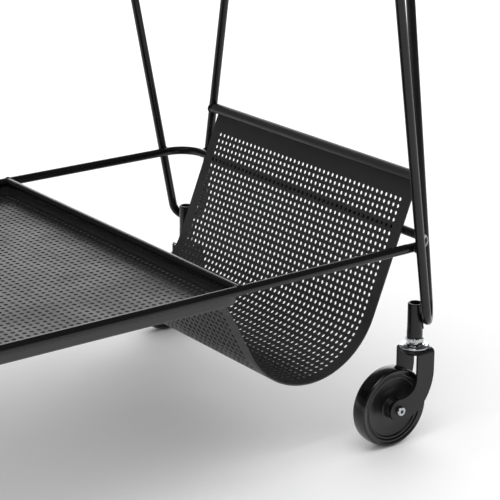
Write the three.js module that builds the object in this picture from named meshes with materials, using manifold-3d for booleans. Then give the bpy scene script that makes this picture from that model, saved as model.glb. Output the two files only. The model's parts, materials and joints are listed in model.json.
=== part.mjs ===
// A bar cart on four swivel castors: two tube rings, two shallow trays, a folded sheet rack at one
// end, and a hairpin leg at each corner.  Millimetres, +Z up, +X towards the rack end.
import * as THREE from 'three';
import * as BufferGeometryUtils from 'three/addons/utils/BufferGeometryUtils.js';
import Module from 'manifold-3d';

const wasm = await Module();
wasm.setup();

// ---- driving dimensions -------------------------------------------------------------------------
const TUBE = 8.4;                 // diameter of every frame tube
const GAP = 0.3;                  // clearance left at a weld, so that neighbours stay separate solids
const ROUND = 12;                 // facets round a tube

const RING_LENGTH = 640;          // lower ring, between tube axes
const RING_DEPTH = 387.6;
const RING_HEIGHT = 188.6;        // tube axis above the floor
const RING_CORNER = 26;           // bend radius of its corners
const UPPER_HEIGHT = 600;         // upper ring axis above the floor
const UPPER_CORNER = 40;

const LEG_INSET = 25.2;           // where a leg tube crosses the ring, measured in from its corner
const LEG_LEAN_LONG = 0.034;      // outward slope of the tube on the long side
const LEG_LEAN_SHORT = 0.022;     // outward slope of the tube on the short side
const LEG_CLOSING = 0.1925;       // how fast the two tubes of a leg close up, per mm going down
const LEG_BEND = 16;              // radius of the hairpin bend at the foot of a leg

const SHEET = 1.5;                // sheet metal thickness
const TRAY_FLOOR_DROP = 11;       // tray floor below the axis of its ring
const CROSS_TUBE_X = 106.3;       // the tube that closes the lower tray on its rack side

const RACK_WIDTH = 307;
const RACK_RAIL_X = 328.3;        // rail that carries the rack's tall side
const RACK_RAIL_HEIGHT = 237;
const RACK_BEND = 75;             // radius of the rack's round bottom
const RACK_LEFT_LEAN = THREE.MathUtils.degToRad(27);
const RACK_RAIL_LENGTH = 312;
const CURL = THREE.MathUtils.degToRad(215);   // how far the sheet is rolled round its rail

const SOCKET_RADIUS = 7;
const SOCKET_BORE = 4.9;
const SOCKET_BOTTOM = 98.4;
const SOCKET_TOP = 130.4;

const WHEEL_RADIUS = 37.5;
const TRAIL = 28;                 // axle behind the swivel axis
const TYRE_HALF_WIDTH = 8;
const RIM_RADIUS = 30;
const HUB_HALF_LENGTH = 9;
const AXLE_RADIUS = 3;
const FORK_HALF_WIDTH = 14.6;
const FORK_STEEL = 2;
const FORK_TOP = 88.1;
const FORK_BACK = -8.2;           // edges of the fork's flat top, from the swivel axis
const FORK_FRONT = 11.6;
const BOSS_RADIUS = 10.5;
const CUP_RADIUS = 13.4;
const STEM_RADIUS = 4.6;
const STEM_HOLE = 5.4;            // hole for the stem in the fork, which turns round it
const NECK_BACK = 64;             // heights where the fork's straight edges start to sweep back
const NECK_FRONT = 66;

// ---- finishes -----------------------------------------------------------------------------------
const finish = (color, roughness, metalness) => (
  new THREE.MeshStandardMaterial({ color, roughness, metalness })
);
const powderCoat = finish(0x2b2b2c, 0.45, 0.3);
const sheetCoat = finish(0x3a3a3b, 0.5, 0.3);
const chrome = finish(0xd4d6d8, 0.15, 1);
const zinc = finish(0xb9bcbe, 0.35, 1);
const forkPaint = finish(0x303031, 0.5, 0.3);
const hubPlastic = finish(0x2e2e2f, 0.45, 0);
const tyreRubber = finish(0x151515, 0.35, 0);

// ---- helpers ------------------------------------------------------------------------------------
const v2 = (x, y) => new THREE.Vector2(x, y);
const v3 = (x, y, z) => new THREE.Vector3(x, y, z);

const cart = new THREE.Group();

function add(name, geometry, material) {
  const mesh = new THREE.Mesh(geometry, material);
  mesh.name = name;
  cart.add(mesh);
  return mesh;
}

// A path through knots: a step falls on each knot, so straights stay one step and bends are fine.
class KnotPath extends THREE.Curve {
  constructor(knots, closed = false) {
    super();
    this.knots = knots;
    this.closed = closed;
    this.steps = closed ? knots.length : knots.length - 1;
  }

  knot(i) {
    const n = this.knots.length;
    return this.closed ? this.knots[((i % n) + n) % n] : this.knots[THREE.MathUtils.clamp(i, 0, n - 1)];
  }

  getPoint(t) {
    const whole = Math.min(Math.floor(t * this.steps + 1e-9), this.steps - 1);
    return this.knot(whole).clone().lerp(this.knot(whole + 1), t * this.steps - whole);
  }

  getPointAt(t) {
    return this.getPoint(t);
  }

  getTangentAt(t) {
    const i = Math.round(t * this.steps);
    const here = this.knot(i);
    const unit = (a, b) => b.clone().sub(a).normalize();
    const into = unit(this.knot(i - 1), here);
    const out = unit(here, this.knot(i + 1));
    return into.add(out).normalize();
  }
}

function circle(radius, sides = ROUND) {
  const step = (2 * Math.PI) / sides;
  const at = (i) => v2(radius * Math.cos(step * i), radius * Math.sin(step * i));
  return new THREE.Shape(Array.from({ length: sides }, (_, i) => at(i)));
}

function bentTube(knots) {
  const extrudePath = new KnotPath(knots);
  return new THREE.ExtrudeGeometry(circle(TUBE / 2), { extrudePath, steps: extrudePath.steps });
}

// A level ring of tube with round corners, as one closed loop.
function ring(halfLength, halfDepth, corner, height) {
  const knots = [];
  const bends = 6;                // steps in each corner
  for (let quarter = 0; quarter < 4; quarter++) {
    const sx = quarter === 0 || quarter === 3 ? 1 : -1;
    const sy = quarter < 2 ? 1 : -1;
    for (let i = 0; i <= bends; i++) {
      const a = (quarter + i / bends) * (Math.PI / 2);
      knots.push(v3(
        sx * (halfLength - corner) + corner * Math.cos(a),
        sy * (halfDepth - corner) + corner * Math.sin(a),
        height,
      ));
    }
  }
  const path = new KnotPath(knots, true);
  return new THREE.TubeGeometry(path, path.steps, TUBE / 2, ROUND, true);
}

function straightTube(x, z, length) {
  const tube = new THREE.CylinderGeometry(TUBE / 2, TUBE / 2, length, ROUND);
  tube.translate(x, 0, z);
  return tube;
}

// Turned parts: pairs of radius and height, going up the outside, closed on themselves, about a
// vertical axis.
function turned(pairs, sides) {
  const outline = pairs.map(([r, h]) => v2(r, h));
  const lathe = new THREE.LatheGeometry([...outline, outline[0].clone()], sides);
  lathe.rotateX(Math.PI / 2);
  return lathe;
}

// The same about the wheel's own axis, which runs along Y.
function turnedOnAxle(pairs, sides) {
  const outline = pairs.map(([r, y]) => v2(r, y));
  return new THREE.LatheGeometry([...outline, outline[0].clone()], sides);
}

function solid(geometry) {
  const bare = new THREE.BufferGeometry();
  bare.setAttribute('position', geometry.getAttribute('position').clone());
  if (geometry.index) bare.setIndex(geometry.index.clone());
  const merged = BufferGeometryUtils.mergeVertices(bare, 1e-4);
  return new wasm.Manifold(new wasm.Mesh({
    numProp: 3,
    vertProperties: Float32Array.from(merged.getAttribute('position').array),
    triVerts: Uint32Array.from(merged.index.array),
  }));
}

function geometryOf(manifold) {
  const mesh = manifold.getMesh();
  const geometry = new THREE.BufferGeometry();
  geometry.setAttribute('position', new THREE.BufferAttribute(Float32Array.from(mesh.vertProperties), 3));
  geometry.setIndex(new THREE.BufferAttribute(Uint32Array.from(mesh.triVerts), 1));
  return geometry;
}

// ---- trays --------------------------------------------------------------------------------------
function roundedRectangle(x0, x1, y0, y1, leftCorner, rightCorner) {
  const shape = new THREE.Shape();
  shape.moveTo(x0 + leftCorner, y0);
  shape.lineTo(x1 - rightCorner, y0);
  shape.absarc(x1 - rightCorner, y0 + rightCorner, rightCorner, -Math.PI / 2, 0, false);
  shape.lineTo(x1, y1 - rightCorner);
  shape.absarc(x1 - rightCorner, y1 - rightCorner, rightCorner, 0, Math.PI / 2, false);
  shape.lineTo(x0 + leftCorner, y1);
  shape.absarc(x0 + leftCorner, y1 - leftCorner, leftCorner, Math.PI / 2, Math.PI, false);
  shape.lineTo(x0, y0 + leftCorner);
  shape.absarc(x0 + leftCorner, y0 + leftCorner, leftCorner, Math.PI, Math.PI * 1.5, false);
  return shape;
}

// A shallow pan whose walls rise under the tubes that carry it.
function tray(x0, x1, halfDepth, leftCorner, rightCorner, ringHeight) {
  const floorTop = ringHeight - TRAY_FLOOR_DROP;
  const wallTop = ringHeight - TUBE / 2 - GAP;
  const half = SHEET / 2;
  const block = (inset, from, to) => {
    const outline = roundedRectangle(
      x0 - half + inset, x1 + half - inset, -halfDepth - half + inset, halfDepth + half - inset,
      leftCorner + half - inset, rightCorner + half - inset,
    );
    const depth = to - from;
    const slab = new THREE.ExtrudeGeometry(outline, { depth, bevelEnabled: false, curveSegments: 6 });
    slab.translate(0, 0, from);
    return solid(slab);
  };
  const spare = 1;
  return geometryOf(block(0, floorTop - SHEET, wallTop).subtract(block(SHEET, floorTop, wallTop + spare)));
}

// ---- legs ---------------------------------------------------------------------------------------
const OFFSET = TUBE + GAP;        // a leg tube beside a ring tube, axis to axis
const SPREAD_LONG = LEG_CLOSING - LEG_LEAN_SHORT;
const SPREAD_SHORT = LEG_CLOSING - LEG_LEAN_LONG;

// Axis points of the two tubes of the leg at +X +Y, a height above the lower ring.
const longSide = (up) => v3(
  RING_LENGTH / 2 - LEG_INSET - SPREAD_LONG * up,
  RING_DEPTH / 2 + OFFSET + LEG_LEAN_LONG * up,
  RING_HEIGHT + up,
);
const shortSide = (up) => v3(
  RING_LENGTH / 2 + OFFSET + LEG_LEAN_SHORT * up,
  RING_DEPTH / 2 - LEG_INSET - SPREAD_SHORT * up,
  RING_HEIGHT + up,
);

function hairpin() {
  const meeting = -(LEG_INSET + OFFSET) / LEG_CLOSING;
  const point = longSide(meeting);
  const along = longSide(0).sub(point).normalize();
  const across = shortSide(0).sub(point).normalize();
  const middle = along.clone().add(across).normalize();
  const half = along.angleTo(across) / 2;
  const centre = point.clone().addScaledVector(middle, LEG_BEND / Math.sin(half));
  const down = middle.clone().negate();
  const side = across.clone().sub(along).normalize();
  const onBend = (a) => centre.clone()
    .addScaledVector(down, LEG_BEND * Math.cos(a))
    .addScaledVector(side, LEG_BEND * Math.sin(a));
  const reach = Math.PI / 2 - half;
  const bends = 10;               // steps round the bend
  const bend = Array.from({ length: bends + 1 }, (_, i) => onBend(-reach + (2 * reach * i) / bends));
  const top = UPPER_HEIGHT - RING_HEIGHT + TUBE / 2;
  return { knots: [longSide(top), ...bend, shortSide(top)], foot: onBend(0) };
}

const leg = hairpin();
const DIAGONAL = (SOCKET_RADIUS + TUBE / 2 + GAP) * Math.SQRT1_2;
const SWIVEL_X = leg.foot.x - DIAGONAL;
const SWIVEL_Y = leg.foot.y - DIAGONAL;

// ---- rack ---------------------------------------------------------------------------------------
// The sheet is rolled round the top rail, comes down outside it, passes inside the ring's end tube,
// turns round the bottom and climbs to the cross tube.
function rackSheet() {
  const reach = TUBE / 2 + GAP + SHEET / 2;
  const rail = v2(RACK_RAIL_X, RACK_RAIL_HEIGHT);
  const end = v2(RING_LENGTH / 2, RING_HEIGHT);
  const between = rail.clone().sub(end);
  const rightLean = Math.atan2(between.x, between.y) + Math.asin((2 * reach) / between.length());
  const rightOut = v2(Math.cos(rightLean), -Math.sin(rightLean));
  const leftOut = v2(-Math.cos(RACK_LEFT_LEAN), -Math.sin(RACK_LEFT_LEAN));
  const start = rail.clone().addScaledVector(rightOut, reach);

  // The centre of the round bottom lies one bend radius inside both limbs.
  const cross = v2(CROSS_TUBE_X, RING_HEIGHT);
  const c1 = rightOut.dot(start) - RACK_BEND;
  const c2 = leftOut.dot(cross) - RACK_BEND;
  const det = rightOut.x * leftOut.y - rightOut.y * leftOut.x;
  const centre = v2((c1 * leftOut.y - c2 * rightOut.y) / det, (rightOut.x * c2 - leftOut.x * c1) / det);
  const leftDown = v2(Math.sin(RACK_LEFT_LEAN), -Math.cos(RACK_LEFT_LEAN));
  const leftTop = cross.clone().addScaledVector(leftDown, TUBE / 2 + GAP);

  const rightAngle = Math.atan2(rightOut.y, rightOut.x);
  const leftAngle = Math.atan2(leftOut.y, leftOut.x);
  const half = SHEET / 2;
  const shape = new THREE.Shape();
  const outer = (p, n) => p.clone().addScaledVector(n, half);
  const inner = (p, n) => p.clone().addScaledVector(n, -half);
  const line = (p) => shape.lineTo(p.x, p.y);
  const begin = outer(leftTop, leftOut);
  shape.moveTo(begin.x, begin.y);
  shape.absarc(centre.x, centre.y, RACK_BEND + half, leftAngle, rightAngle, false);
  shape.absarc(rail.x, rail.y, reach + half, rightAngle, rightAngle + CURL, false);
  shape.absarc(rail.x, rail.y, reach - half, rightAngle + CURL, rightAngle, true);
  shape.absarc(centre.x, centre.y, RACK_BEND - half, rightAngle, leftAngle, true);
  line(inner(leftTop, leftOut));
  const sheet = new THREE.ExtrudeGeometry(shape, {
    depth: RACK_WIDTH, bevelEnabled: false, curveSegments: 14,
  });
  sheet.rotateX(Math.PI / 2);
  sheet.translate(0, RACK_WIDTH / 2, 0);
  return sheet;
}

// ---- castors ------------------------------------------------------------------------------------
const TURNED_SIDES = 20;
const WHEEL_SIDES = 36;
function socketTube() {
  return turned([
    [SOCKET_BORE, SOCKET_BOTTOM], [SOCKET_RADIUS, SOCKET_BOTTOM],
    [SOCKET_RADIUS, SOCKET_TOP], [SOCKET_BORE, SOCKET_TOP],
  ], TURNED_SIDES);
}

const CUP_TOP = 91.6;
const LOCK_NUT_TOP = SOCKET_BOTTOM - GAP;
const PLATE_UNDERSIDE = FORK_TOP - FORK_STEEL;
const STEM_TOP = 121;

function stem() {
  const headRadius = 7.5;
  const headHeight = 2.6;
  const headBottom = PLATE_UNDERSIDE - headHeight;
  return turned([
    [0, headBottom], [headRadius, headBottom], [headRadius, PLATE_UNDERSIDE - GAP],
    [STEM_RADIUS, PLATE_UNDERSIDE - GAP], [STEM_RADIUS, STEM_TOP], [0, STEM_TOP],
  ], TURNED_SIDES);
}

function lockNut() {
  const acrossCorners = 17.2;
  const height = LOCK_NUT_TOP - (CUP_TOP + GAP);
  const hexagon = circle(acrossCorners / 2, 6);
  hexagon.holes.push(new THREE.Path(circle(SOCKET_BORE).getPoints()));
  const nut = new THREE.ExtrudeGeometry(hexagon, { depth: height, bevelEnabled: false });
  nut.translate(0, 0, CUP_TOP + GAP);
  return nut;
}

// A pressed cup: a short upright rim, and a shoulder that slopes in to the flat that the nut bears on.
function bearingCup() {
  const bottom = FORK_TOP + GAP;
  const rimBottom = bottom + 0.8;
  const rimTop = bottom + 2;
  const flatRadius = 10.2;
  return turned([
    [SOCKET_BORE, bottom], [CUP_RADIUS - 1, bottom], [CUP_RADIUS, rimBottom], [CUP_RADIUS, rimTop],
    [CUP_RADIUS - 1.2, CUP_TOP - 0.7], [flatRadius, CUP_TOP], [SOCKET_BORE, CUP_TOP],
  ], TURNED_SIDES);
}

// Two flat arms under a crown.  Each arm comes straight down, sweeps back to the axle and ends in a
// round boss.
function fork() {
  const arm = new THREE.Shape();
  const axle = v2(-TRAIL, WHEEL_RADIUS);
  const bossStart = THREE.MathUtils.degToRad(75);
  const bossEnd = THREE.MathUtils.degToRad(285);
  const crownCorner = 1;
  const curveSegments = 6;
  const onBoss = (a) => v2(axle.x + BOSS_RADIUS * Math.cos(a), axle.y + BOSS_RADIUS * Math.sin(a));
  const upper = onBoss(bossStart);
  arm.moveTo(FORK_BACK, FORK_TOP);
  arm.lineTo(FORK_BACK, NECK_BACK);
  arm.bezierCurveTo(FORK_BACK, 52, -17, 48.6, upper.x, upper.y);
  arm.absarc(axle.x, axle.y, BOSS_RADIUS, bossStart, bossEnd, false);
  arm.bezierCurveTo(-10, 24.5, 9.5, 40, FORK_FRONT, NECK_FRONT);
  arm.lineTo(FORK_FRONT, FORK_TOP);
  arm.closePath();
  const bore = new THREE.Path();
  bore.absarc(axle.x, axle.y, AXLE_RADIUS + GAP, 0, 2 * Math.PI, true);
  arm.holes.push(bore);
  const cheek = (outerFace) => {
    const plate = new THREE.ExtrudeGeometry(arm, { depth: FORK_STEEL, bevelEnabled: false, curveSegments });
    plate.rotateX(Math.PI / 2);
    plate.translate(0, outerFace, 0);
    return solid(plate);
  };
  const crown = roundedRectangle(
    FORK_BACK, FORK_FRONT, -FORK_HALF_WIDTH, FORK_HALF_WIDTH, crownCorner, crownCorner,
  );
  const stemHole = new THREE.Path();
  stemHole.absarc(0, 0, STEM_HOLE, 0, 2 * Math.PI, true);
  crown.holes.push(stemHole);
  const plate = new THREE.ExtrudeGeometry(crown, { depth: FORK_STEEL, bevelEnabled: false, curveSegments });
  plate.translate(0, 0, PLATE_UNDERSIDE);
  const left = cheek(FORK_HALF_WIDTH);
  const right = cheek(-FORK_HALF_WIDTH + FORK_STEEL);
  return geometryOf(left.add(right).add(solid(plate)));
}

// A boss on the axle, a web that dishes in towards it, and a raised rim under the tyre.
function wheelHub() {
  const bore = 4.6;
  const bossRadius = 8.5;
  const webHalf = 3.2;
  const webEdge = 4.9;
  const rimInner = 27.6;
  const rimHalf = 6.4;
  const half = [
    [bore, HUB_HALF_LENGTH], [bossRadius, HUB_HALF_LENGTH], [bossRadius + 1.6, webHalf],
    [rimInner - 0.6, webEdge], [rimInner, rimHalf], [RIM_RADIUS - GAP, rimHalf],
  ];
  const mirrored = half.map(([r, y]) => [r, -y]).reverse();
  return turnedOnAxle([...half, ...mirrored].reverse(), WHEEL_SIDES);
}

// A narrow tread that rounds into the side walls.
function tyre() {
  const h = TYRE_HALF_WIDTH;
  return turnedOnAxle([
    [RIM_RADIUS, -h + 1.4], [RIM_RADIUS + 2, -h],
    [WHEEL_RADIUS - 2.6, -h + 0.6], [WHEEL_RADIUS - 0.5, -h + 3.4],
    [WHEEL_RADIUS, 0],
    [WHEEL_RADIUS - 0.5, h - 3.4], [WHEEL_RADIUS - 2.6, h - 0.6],
    [RIM_RADIUS + 2, h], [RIM_RADIUS, h - 1.4],
  ], WHEEL_SIDES);
}

const BETWEEN_ARMS = FORK_HALF_WIDTH - FORK_STEEL - GAP;
const ARM_FACE = FORK_HALF_WIDTH + GAP;

function axleSleeve() {
  const outer = 4.3;
  const inner = AXLE_RADIUS + GAP;
  return turnedOnAxle([
    [inner, -BETWEEN_ARMS], [outer, -BETWEEN_ARMS], [outer, BETWEEN_ARMS], [inner, BETWEEN_ARMS],
  ], TURNED_SIDES);
}

function axleBolt() {
  const headRadius = 4.3;
  const headHeight = 3;
  const headFace = ARM_FACE + headHeight;
  const easing = 0.6;
  const tail = ARM_FACE + 4.4;
  const shank = turnedOnAxle([
    [0, -headFace], [headRadius - easing, -headFace],
    [headRadius, -headFace + easing], [headRadius, -ARM_FACE],
    [AXLE_RADIUS, -ARM_FACE], [AXLE_RADIUS, tail], [0, tail],
  ], TURNED_SIDES);
  const keyDepth = 2;
  const keyRadius = 2.3;
  const key = new THREE.CylinderGeometry(keyRadius, keyRadius, 2 * keyDepth, 6);
  key.translate(0, -headFace, 0);
  return geometryOf(solid(shank).subtract(solid(key)));
}

function axleNut() {
  const height = 4;
  const acrossCorners = 11.2;
  const hexagon = circle(acrossCorners / 2, 6);
  hexagon.holes.push(new THREE.Path(circle(AXLE_RADIUS + GAP).getPoints()));
  const nut = new THREE.ExtrudeGeometry(hexagon, { depth: height, bevelEnabled: false });
  nut.rotateX(-Math.PI / 2);
  nut.translate(0, ARM_FACE, 0);
  return nut;
}

// ---- assembly -----------------------------------------------------------------------------------
const upRing = UPPER_HEIGHT - RING_HEIGHT;
const upperHalfLength = shortSide(upRing).x - OFFSET;
const upperHalfDepth = longSide(upRing).y - OFFSET;

add('lower_ring', ring(RING_LENGTH / 2, RING_DEPTH / 2, RING_CORNER, RING_HEIGHT), powderCoat);
add('upper_ring', ring(upperHalfLength, upperHalfDepth, UPPER_CORNER, UPPER_HEIGHT), powderCoat);
add('cross_tube', straightTube(CROSS_TUBE_X, RING_HEIGHT, RING_DEPTH - TUBE - 2 * GAP), powderCoat);
add('rack_top_rail', straightTube(RACK_RAIL_X, RACK_RAIL_HEIGHT, RACK_RAIL_LENGTH), powderCoat);
add('rack_sheet', rackSheet(), sheetCoat);
const crossCorner = 10;           // corners of the lower tray at the cross tube
add('lower_tray', tray(
  -RING_LENGTH / 2, CROSS_TUBE_X, RING_DEPTH / 2, RING_CORNER, crossCorner, RING_HEIGHT,
), sheetCoat);
add('upper_tray', tray(
  -upperHalfLength, upperHalfLength, upperHalfDepth, UPPER_CORNER, UPPER_CORNER, UPPER_HEIGHT,
), sheetCoat);

const corners = [['front_right', 1, -1], ['back_right', 1, 1], ['front_left', -1, -1], ['back_left', -1, 1]];
for (const [corner, sx, sy] of corners) {
  const knots = leg.knots.map((p) => v3(sx * p.x, sy * p.y, p.z));
  add(`leg_${corner}`, bentTube(knots), powderCoat);

  const x = sx * SWIVEL_X;
  const y = sy * SWIVEL_Y;
  const onSwivel = [['socket', socketTube, powderCoat], ['stem', stem, zinc], ['lock_nut', lockNut, chrome],
    ['bearing_cup', bearingCup, chrome], ['fork', fork, forkPaint]];
  for (const [name, make, material] of onSwivel) {
    add(`${name}_${corner}`, make(), material).position.set(x, y, 0);
  }

  const onAxle = [['wheel_hub', wheelHub, hubPlastic], ['tyre', tyre, tyreRubber],
    ['axle_sleeve', axleSleeve, zinc], ['axle_bolt', axleBolt, chrome], ['axle_nut', axleNut, zinc]];
  for (const [name, make, material] of onAxle) {
    add(`${name}_${corner}`, make(), material).position.set(x - TRAIL, y, WHEEL_RADIUS);
  }
}

// The origin is on the floor under the middle of the whole cart, castors included.
const farEnd = shortSide(upRing + TUBE / 2).x + TUBE / 2;
const trailingEnd = SWIVEL_X + TRAIL + WHEEL_RADIUS;
cart.position.x = (trailingEnd - farEnd) / 2;

export default cart;
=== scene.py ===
"""The looks of a bar cart: bent steel tube, perforated sheet steel and swivel castors.

Every surface is worked out in millimetres in the cart's own frame: +X towards the rack, +Y to the
back, +Z up, with the origin on the floor under the middle.
"""

import json
import math

import bmesh
import bpy
import numpy as np
from bpy.props import FloatProperty, FloatVectorProperty, PointerProperty
from mathutils import Matrix, Vector


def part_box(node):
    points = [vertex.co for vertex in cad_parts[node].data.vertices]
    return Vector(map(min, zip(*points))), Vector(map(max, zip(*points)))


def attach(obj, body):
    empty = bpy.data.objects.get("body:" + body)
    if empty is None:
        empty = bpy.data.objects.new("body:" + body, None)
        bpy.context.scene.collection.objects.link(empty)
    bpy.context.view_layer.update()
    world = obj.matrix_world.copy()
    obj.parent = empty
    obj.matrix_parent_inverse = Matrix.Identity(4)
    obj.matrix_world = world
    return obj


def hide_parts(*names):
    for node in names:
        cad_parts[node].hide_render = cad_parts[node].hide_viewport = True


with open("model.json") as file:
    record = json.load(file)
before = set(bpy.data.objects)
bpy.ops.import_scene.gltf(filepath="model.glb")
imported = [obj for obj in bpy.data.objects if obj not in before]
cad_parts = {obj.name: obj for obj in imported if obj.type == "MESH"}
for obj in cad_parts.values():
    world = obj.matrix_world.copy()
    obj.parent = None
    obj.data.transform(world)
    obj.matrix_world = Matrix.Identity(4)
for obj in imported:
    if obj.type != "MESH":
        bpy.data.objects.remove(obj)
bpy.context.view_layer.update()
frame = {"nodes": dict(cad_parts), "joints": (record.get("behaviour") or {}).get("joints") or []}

bl_info = {
    "name": "Bar cart",
    "version": (1, 0, 0),
    "blender": (4, 5, 0),
    "location": "3D Viewport > Sidebar > Bar Cart",
    "description": "Builds the visible surfaces and finishes of a bar cart on castors",
    "category": "Add Mesh",
}

MM = 0.001


def cad_box(node):
    """Lowest and highest corner of a CAD node, in millimetres."""
    return np.array([list(corner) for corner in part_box(node)]) / MM


# ---- sizes, in millimetres ----------------------------------------------------------------------
LOWER_RING = cad_box("lower_ring")
UPPER_RING = cad_box("upper_ring")
TUBE_RADIUS = (LOWER_RING[1, 2] - LOWER_RING[0, 2]) / 2
LOWER_AXIS = LOWER_RING[1] - TUBE_RADIUS     # where the ring's axis reaches furthest, and its height
UPPER_AXIS = UPPER_RING[1] - TUBE_RADIUS
MIDDLE_X = LOWER_RING[:, 0].mean()           # the rings stand off the origin, because the castors trail
HALF_LENGTH = LOWER_AXIS[0] - MIDDLE_X
HALF_DEPTH = LOWER_AXIS[1]
UPPER_HALF_LENGTH = UPPER_AXIS[0] - MIDDLE_X
UPPER_HALF_DEPTH = UPPER_AXIS[1]
LOWER_CORNER = 26.0
UPPER_CORNER = 40.0
WELD_GAP = 0.3

LEG_INSET = 25.2                             # leg tube from the ring's corner, where it crosses the ring
LEG_LEAN_LONG = 0.034
LEG_LEAN_SHORT = 0.022
LEG_CLOSING = 0.1925
LEG_BEND = 16.0

CROSS_X = cad_box("cross_tube")[:, 0].mean()
RAIL_X, _, RAIL_HEIGHT = cad_box("rack_top_rail").mean(0)
RACK_HALF_WIDTH = cad_box("rack_sheet")[1, 1]
RACK_BEND = 75.0
RACK_LEFT_LEAN = math.radians(27)
CURL = math.radians(215)                     # how far the rack sheet is rolled round its rail
FIRST_ROW = 23.0                             # first row of rack holes, from the rail's axis
TRAY_BEND = 2.4                              # bend between a tray's floor and its wall
TRAY_FLOOR_DROP = 11.0                       # top of a tray's floor below the axis of its ring

SOCKET_RADIUS = 7.0
SOCKET_BORE = 4.9
SOCKET_WELD_HEIGHT = 116.0                   # middle of the weld between a socket and its leg

JOINTS = {joint["name"]: joint for joint in frame["joints"]}
CORNERS = ("front_right", "back_right", "front_left", "back_left")
TUBE_SIDES = 40


def length(name, description, size, least=0.0):
    """A length property that starts from a size in millimetres."""
    return FloatProperty(name=name, description=description, default=size * MM, min=least * MM, unit="LENGTH")


def power(name, description, watts):
    """A property for the power of a light."""
    return FloatProperty(name=name, description=description, default=watts, min=0, unit="POWER")


class CartSheetSettings(bpy.types.PropertyGroup):
    """Sizes of the perforated sheet steel."""

    thickness: length("Thickness", "Thickness of the sheet steel", 1.5, least=0.3)
    pitch: length("Hole pitch", "Distance from hole to hole", 6.5, least=3)
    hole: length("Hole diameter", "Diameter of a punched hole", 4.0, least=1)
    crown: length("Crown", "How far a tray floor stands proud at its middle", 0.5)


def linear(code):
    """An sRGB hex colour as linear red, green, blue and alpha."""
    parts = [int(code[i:i + 2], 16) / 255 for i in (0, 2, 4)]
    return [c / 12.92 if c <= 0.04045 else ((c + 0.055) / 1.055) ** 2.4 for c in parts] + [1.0]


def colour(name, description, code):
    """A colour property that starts from an sRGB hex value."""
    return FloatVectorProperty(
        name=name, description=description, default=linear(code), size=4, min=0, max=1, subtype="COLOR"
    )


class CartFinishSettings(bpy.types.PropertyGroup):
    """Colours of the finishes."""

    tube: colour("Tube", "Powder coat on the frame tubes", "0c0c0d")
    sheet: colour("Sheet", "Powder coat on the perforated sheet", "2a2a2b")
    fork: colour("Fork", "Paint on the castor forks", "121213")
    chrome: colour("Chrome", "Plating of the lock nuts, cups and bolts", "b4b6b8")
    zinc: colour("Zinc", "Plating of the stems and axle nuts", "b9bcbe")
    plastic: colour("Wheel", "Moulded wheel discs", "101011")
    rubber: colour("Tyre", "Moulded tyres", "060606")


class CartStageSettings(bpy.types.PropertyGroup):
    """Floor, light and camera."""

    floor: colour("Floor", "Plain pale floor", "f4f4f4")
    room: FloatProperty(name="Room light", description="Light from all round", default=1.0, min=0)
    gloss_room: FloatProperty(
        name="Room in reflections", description="Light from all round, as glossy surfaces reflect it",
        default=0.12, min=0,
    )
    top: power("Top light", "Power of the light overhead", 24.0)
    back: power("Back light", "Power of the light behind", 40.0)
    lens: FloatProperty(name="Lens", description="Focal length", default=130.0, min=20, unit="CAMERA")


# ---- curves and grids ---------------------------------------------------------------------------
def unit(vectors):
    """Each vector divided by its own length."""
    return vectors / np.linalg.norm(vectors, axis=-1, keepdims=True)


def rounded_path(corners, radii, steps, closed=True):
    """A polyline with its corners rounded, in two or three dimensions.

    At each corner the arc is centre + r (sin t along - cos t inward), for t from 0 to the turn, and
    its centre lies r inward of the point where the straight ends, r tan(turn / 2) before the corner.
    """
    corners = np.asarray(corners, float)
    radii = np.broadcast_to(np.asarray(radii, float), len(corners))[:, None]
    into = unit(corners - np.roll(corners, 1, 0))
    out = unit(np.roll(corners, -1, 0) - corners)
    cosine = np.clip((into * out).sum(1, keepdims=True), -1, 1)
    turn = np.arccos(cosine)
    inward = unit(out - cosine * into)
    centre = corners - into * radii * np.tan(turn / 2) + inward * radii
    t = (turn * np.linspace(0, 1, steps + 1))[..., None]
    arcs = centre[:, None] + radii[:, None] * (np.sin(t) * into[:, None] - np.cos(t) * inward[:, None])
    if closed:
        return arcs.reshape(-1, corners.shape[1])
    inner = arcs[1:-1].reshape(-1, corners.shape[1])
    return np.vstack([corners[:1], inner, corners[-1:]])


def directions(path, closed):
    """Unit tangents: at each point, the sum of the unit steps into it and out of it."""
    steps = unit(np.roll(path, -1, 0) - path)
    if not closed:
        steps[-1] = steps[-2]
    into = np.roll(steps, 1, 0)
    if not closed:
        into[0] = steps[0]
    return unit(into + steps)


def circle(radius, sides):
    """Points round a circle: r cos t, r sin t."""
    t = np.linspace(0, 2 * np.pi, sides, endpoint=False)
    return radius * np.column_stack([np.cos(t), np.sin(t)])


def grid_quads(rows, columns, wrap_rows=False, wrap_columns=True):
    """Quads that join each point of a grid to its neighbours in the next row and column."""
    r = np.arange(rows if wrap_rows else rows - 1)[:, None]
    c = np.arange(columns if wrap_columns else columns - 1)[None]
    here, below = r * columns, (r + 1) % rows * columns
    right = (c + 1) % columns
    return np.stack([here + c, here + right, below + right, below + c], -1).reshape(-1, 4)


def sweep(path, across, profile, closed=False, scale=None):
    """A profile carried along a path: path + scale (p side + q up).

    Up is the given direction made square to the path, and side is path direction x up.  Returns
    points, quads and, for an open path, the two end loops.
    """
    path = np.asarray(path, float)
    along = directions(path, closed)
    up = unit(across - (along * across).sum(-1, keepdims=True) * along)
    side = np.cross(along, up)
    scale = np.ones(len(path)) if scale is None else scale
    section = profile[None, :, :, None] * scale[:, None, None, None]
    points = path[:, None] + section[:, :, 0] * side[:, None] + section[:, :, 1] * up[:, None]
    rows, columns = points.shape[:2]
    quads = grid_quads(rows, columns, wrap_rows=closed)
    return points.reshape(-1, 3), quads, end_loops(rows, columns, closed)


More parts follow.
